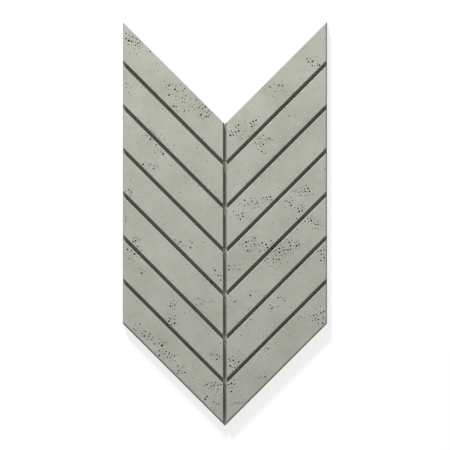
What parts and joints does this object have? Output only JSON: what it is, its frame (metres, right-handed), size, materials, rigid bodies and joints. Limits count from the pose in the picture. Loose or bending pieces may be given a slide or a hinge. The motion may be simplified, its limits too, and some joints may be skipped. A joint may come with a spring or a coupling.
{
  "type": "textured concrete wall panel",
  "caption": "Flat cast concrete wall panel with a chevron outline, a V notch at one end and a V tip at the other, and a grooved herringbone plank face.",
  "frame": {"origin": "middle of the bounding box, on the plane of the flat back face", "axes": "+X to the right across the panel's width, +Y along its length from the V tip to the V notch, +Z out of the grooved face"},
  "size_m": [0.6, 1.187, 0.025],
  "materials": {
    "concrete": "matt fair-faced cast concrete with small air holes"
  },
  "bodies": {
    "root": {"concrete_panel": "concrete"}
  },
  "joints": []
}
